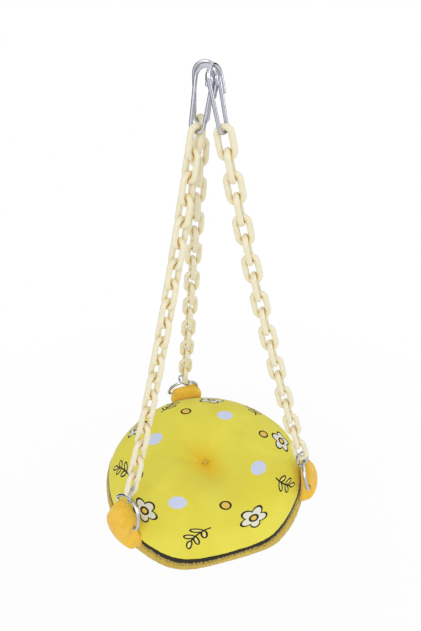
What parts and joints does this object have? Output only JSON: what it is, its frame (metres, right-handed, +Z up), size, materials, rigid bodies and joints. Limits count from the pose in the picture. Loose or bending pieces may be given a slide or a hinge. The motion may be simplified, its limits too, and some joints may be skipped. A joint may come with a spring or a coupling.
{
  "type": "bird swing",
  "caption": "Tufted round plush perch cushion hung level from one hook by plastic link chains with D-rings, split rings and wire clips.",
  "frame": {"origin": "middle of the hook's wire, under the arches of the clips", "axes": "+Z up along the whole swing; +Y towards the rear chain; the cushion's front is towards -Y"},
  "size_m": [0.1835, 0.1905, 0.3682],
  "materials": {
    "printed_plush": "short-pile printed plush",
    "mustard_plush": "long-pile plush",
    "fibre_fill": "loose polyester fibre",
    "thread": "twisted thread",
    "chain_plastic": "glossy moulded plastic",
    "bright_steel": "bright nickel-plated wire"
  },
  "bodies": {
    "cushion": {"top_cover": "printed_plush", "bottom_cover": "mustard_plush", "stuffing": "fibre_fill", "tuft_thread": "thread", "rear_tab": "mustard_plush", "left_tab": "mustard_plush", "right_tab": "mustard_plush"},
    "rear_d_ring": {"rear_d_ring": "bright_steel"},
    "rear_split_ring": {"rear_split_ring": "bright_steel"},
    "rear_chain_6": {"rear_chain_6": "chain_plastic"},
    "rear_chain_5": {"rear_chain_5": "chain_plastic"},
    "rear_chain_4": {"rear_chain_4": "chain_plastic"},
    "rear_chain_3": {"rear_chain_3": "chain_plastic"},
    "rear_chain_2": {"rear_chain_2": "chain_plastic"},
    "rear_chain_1": {"rear_chain_1": "chain_plastic"},
    "rear_clip": {"rear_clip": "bright_steel"},
    "left_d_ring": {"left_d_ring": "bright_steel"},
    "left_split_ring": {"left_split_ring": "bright_steel"},
    "left_chain_6": {"left_chain_6": "chain_plastic"},
    "left_chain_5": {"left_chain_5": "chain_plastic"},
    "left_chain_4": {"left_chain_4": "chain_plastic"},
    "left_chain_3": {"left_chain_3": "chain_plastic"},
    "left_chain_2": {"left_chain_2": "chain_plastic"},
    "left_chain_1": {"left_chain_1": "chain_plastic"},
    "left_clip": {"left_clip": "bright_steel"},
    "right_d_ring": {"right_d_ring": "bright_steel"},
    "right_split_ring": {"right_split_ring": "bright_steel"},
    "right_chain_6": {"right_chain_6": "chain_plastic"},
    "right_chain_5": {"right_chain_5": "chain_plastic"},
    "right_chain_4": {"right_chain_4": "chain_plastic"},
    "right_chain_3": {"right_chain_3": "chain_plastic"},
    "right_chain_2": {"right_chain_2": "chain_plastic"},
    "right_chain_1": {"right_chain_1": "chain_plastic"},
    "right_clip": {"right_clip": "bright_steel"}
  },
  "joints": [
    {"name": "rear_d_ring_swing", "type": "hinge", "parent": "cushion", "child": "rear_d_ring", "pos_m": [0, 0.09053, -0.31973], "axis": [-0.9876, 0.0501, -0.1486], "range_deg": [0, 95]},
    {"name": "rear_split_ring_swing", "type": "hinge", "parent": "rear_d_ring", "child": "rear_split_ring", "pos_m": [0, 0.08581, -0.30539], "axis": [-1, 0.0012, 0], "range_deg": [0, 25]},
    {"name": "rear_chain_6_swing", "type": "hinge", "parent": "rear_split_ring", "child": "rear_chain_6", "pos_m": [0, 0.08286, -0.2962], "axis": [-1, 0.0012, 0], "range_deg": [0, 25]},
    {"name": "rear_chain_5_swing", "type": "hinge", "parent": "rear_chain_6", "child": "rear_chain_5", "pos_m": [-0.00002, 0.066, -0.24144], "axis": [-1, 0.0012, 0], "range_deg": [0, 25]},
    {"name": "rear_chain_4_swing", "type": "hinge", "parent": "rear_chain_5", "child": "rear_chain_4", "pos_m": [-0.00004, 0.05519, -0.20397], "axis": [-1, 0.0012, 0], "range_deg": [0, 25]},
    {"name": "rear_chain_3_swing", "type": "hinge", "parent": "rear_chain_4", "child": "rear_chain_3", "pos_m": [-0.00005, 0.04258, -0.15765], "axis": [-1, 0.0012, 0], "range_deg": [0, 25]},
    {"name": "rear_chain_2_swing", "type": "hinge", "parent": "rear_chain_3", "child": "rear_chain_2", "pos_m": [-0.00006, 0.03295, -0.11986], "axis": [-1, 0.0012, 0], "range_deg": [0, 25]},
    {"name": "rear_chain_1_swing", "type": "hinge", "parent": "rear_chain_2", "child": "rear_chain_1", "pos_m": [-0.00008, 0.0218, -0.07317], "axis": [-1, 0.0012, 0], "range_deg": [0, 25]},
    {"name": "rear_clip_swing", "type": "hinge", "parent": "rear_chain_1", "child": "rear_clip", "pos_m": [-0.00009, 0.01318, -0.03427], "axis": [-1, 0.0012, 0], "range_deg": [0, 20]},
    {"name": "left_d_ring_swing", "type": "hinge", "parent": "cushion", "child": "left_d_ring", "pos_m": [-0.07859, -0.04545, -0.31965], "axis": [0.3454, -0.8496, -0.3986], "range_deg": [0, 95]},
    {"name": "left_split_ring_swing", "type": "hinge", "parent": "left_d_ring", "child": "left_split_ring", "pos_m": [-0.07428, -0.04287, -0.3054], "axis": [0.5139, -0.8578, 0], "range_deg": [0, 25]},
    {"name": "left_chain_6_swing", "type": "hinge", "parent": "left_split_ring", "child": "left_chain_6", "pos_m": [-0.07159, -0.04126, -0.29628], "axis": [0.5139, -0.8578, 0], "range_deg": [0, 25]},
    {"name": "left_chain_5_swing", "type": "hinge", "parent": "left_chain_6", "child": "left_chain_5", "pos_m": [-0.05616, -0.03202, -0.24188], "axis": [0.5139, -0.8578, 0], "range_deg": [0, 25]},
    {"name": "left_chain_4_swing", "type": "hinge", "parent": "left_chain_5", "child": "left_chain_4", "pos_m": [-0.04622, -0.02606, -0.20464], "axis": [0.5139, -0.8578, 0], "range_deg": [0, 25]},
    {"name": "left_chain_3_swing", "type": "hinge", "parent": "left_chain_4", "child": "left_chain_3", "pos_m": [-0.03459, -0.01909, -0.15859], "axis": [0.5139, -0.8578, 0], "range_deg": [0, 25]},
    {"name": "left_chain_2_swing", "type": "hinge", "parent": "left_chain_3", "child": "left_chain_2", "pos_m": [-0.02566, -0.01374, -0.12101], "axis": [0.5139, -0.8578, 0], "range_deg": [0, 25]},
    {"name": "left_chain_1_swing", "type": "hinge", "parent": "left_chain_2", "child": "left_chain_1", "pos_m": [-0.01527, -0.00752, -0.07456], "axis": [0.5139, -0.8578, 0], "range_deg": [0, 25]},
    {"name": "left_clip_swing", "type": "hinge", "parent": "left_chain_1", "child": "left_clip", "pos_m": [-0.00719, -0.00268, -0.03584], "axis": [0.5139, -0.8578, 0], "range_deg": [0, 20]},
    {"name": "right_d_ring_swing", "type": "hinge", "parent": "cushion", "child": "right_d_ring", "pos_m": [0.07863, -0.04487, -0.31972], "axis": [0.2687, 0.9011, 0.3402], "range_deg": [0, 95]},
    {"name": "right_split_ring_swing", "type": "hinge", "parent": "right_d_ring", "child": "right_split_ring", "pos_m": [0.07428, -0.04297, -0.30539], "axis": [0.3985, 0.9172, 0], "range_deg": [0, 25]},
    {"name": "right_chain_6_swing", "type": "hinge", "parent": "right_split_ring", "child": "right_chain_6", "pos_m": [0.07155, -0.04179, -0.29621], "axis": [0.3985, 0.9172, 0], "range_deg": [0, 25]},
    {"name": "right_chain_5_swing", "type": "hinge", "parent": "right_chain_6", "child": "right_chain_5", "pos_m": [0.056, -0.03503, -0.24147], "axis": [0.3985, 0.9172, 0], "range_deg": [0, 25]},
    {"name": "right_chain_4_swing", "type": "hinge", "parent": "right_chain_5", "child": "right_chain_4", "pos_m": [0.04602, -0.0307, -0.20402], "axis": [0.3985, 0.9172, 0], "range_deg": [0, 25]},
    {"name": "right_chain_3_swing", "type": "hinge", "parent": "right_chain_4", "child": "right_chain_3", "pos_m": [0.03438, -0.02564, -0.15773], "axis": [0.3985, 0.9172, 0], "range_deg": [0, 25]},
    {"name": "right_chain_2_swing", "type": "hinge", "parent": "right_chain_3", "child": "right_chain_2", "pos_m": [0.02549, -0.02178, -0.11996], "axis": [0.3985, 0.9172, 0], "range_deg": [0, 25]},
    {"name": "right_chain_1_swing", "type": "hinge", "parent": "right_chain_2", "child": "right_chain_1", "pos_m": [0.01519, -0.0173, -0.07329], "axis": [0.3985, 0.9172, 0], "range_deg": [0, 25]},
    {"name": "right_clip_swing", "type": "hinge", "parent": "right_chain_1", "child": "right_clip", "pos_m": [0.00722, -0.01384, -0.0344], "axis": [0.3985, 0.9172, 0], "range_deg": [0, 20]}
  ]
}
